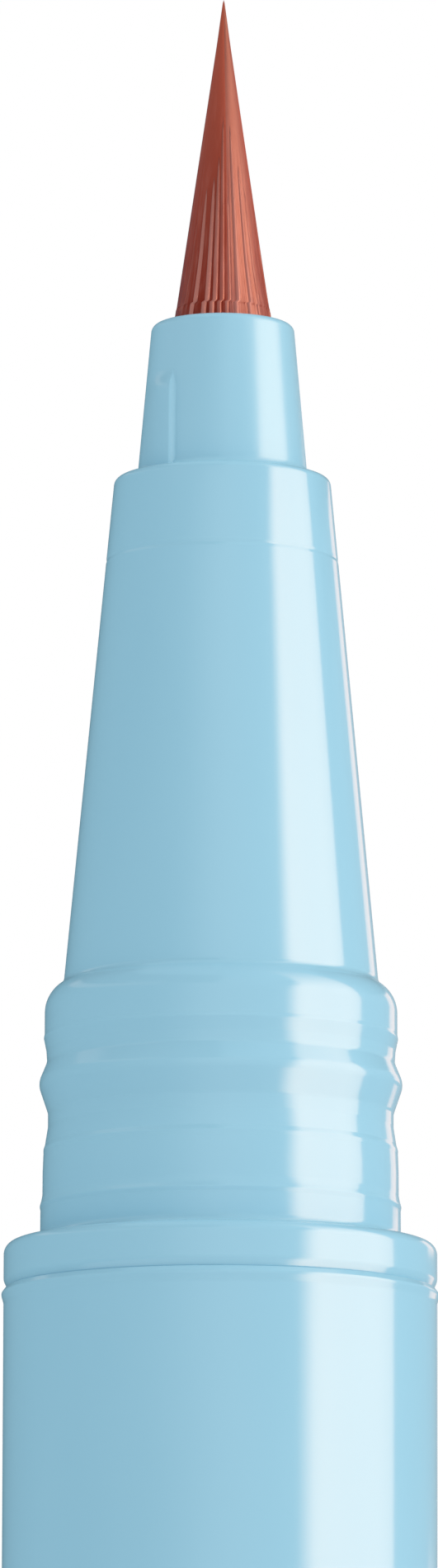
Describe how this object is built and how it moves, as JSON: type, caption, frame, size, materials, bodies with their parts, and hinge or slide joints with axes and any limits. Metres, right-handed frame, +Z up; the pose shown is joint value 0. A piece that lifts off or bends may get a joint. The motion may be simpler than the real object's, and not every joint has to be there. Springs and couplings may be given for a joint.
{
  "type": "liquid eyeliner pen",
  "caption": "Brush-tip liquid eyeliner pen standing on its tail, with a snap collar, an ink tank with feed and mixing ball, and its cap with a sprung inner cap beside it.",
  "frame": {"origin": "centre of the flat tail face, on the surface that the pen and its cap stand on", "axes": "+Z up along the pen's axis towards the brush tip, +X towards the cap standing beside the pen"},
  "size_m": [0.0219, 0.0106, 0.1229],
  "materials": {
    "blue_plastic": "glossy moulded light blue plastic",
    "natural_plastic": "natural moulded plastic",
    "brush_fibre": "fine tapered fibres, brown-red",
    "wick_fibre": "bonded fibre rod stained with ink",
    "rubber": "smooth black rubber",
    "steel": "bright drawn steel"
  },
  "bodies": {
    "pen": {"barrel": "blue_plastic", "tail_plug": "blue_plastic", "front_shell": "blue_plastic", "seal_ring": "rubber", "collector": "natural_plastic", "wick": "wick_fibre", "brush_holder": "natural_plastic", "brush": "brush_fibre"},
    "ball": {"mixing_ball": "steel"},
    "cap": {"cap_shell": "blue_plastic", "cap_end_plug": "blue_plastic", "cap_spring": "steel"},
    "cap_liner": {"inner_cap": "natural_plastic"}
  },
  "joints": [
    {"name": "ball_travel", "type": "slide", "parent": "pen", "child": "ball", "axis": [0, 0, 1], "range_m": [0, 0.077]},
    {"name": "cap_lift", "type": "slide", "parent": "pen", "child": "cap", "axis": [0, 0, 1], "range_m": [0, 0.13]},
    {"name": "inner_cap_press", "type": "slide", "parent": "cap", "child": "cap_liner", "axis": [0, 0, -1], "range_m": [0, 0.0015], "stiffness_N_per_m": 250, "deforming": ["cap_spring"]}
  ]
}
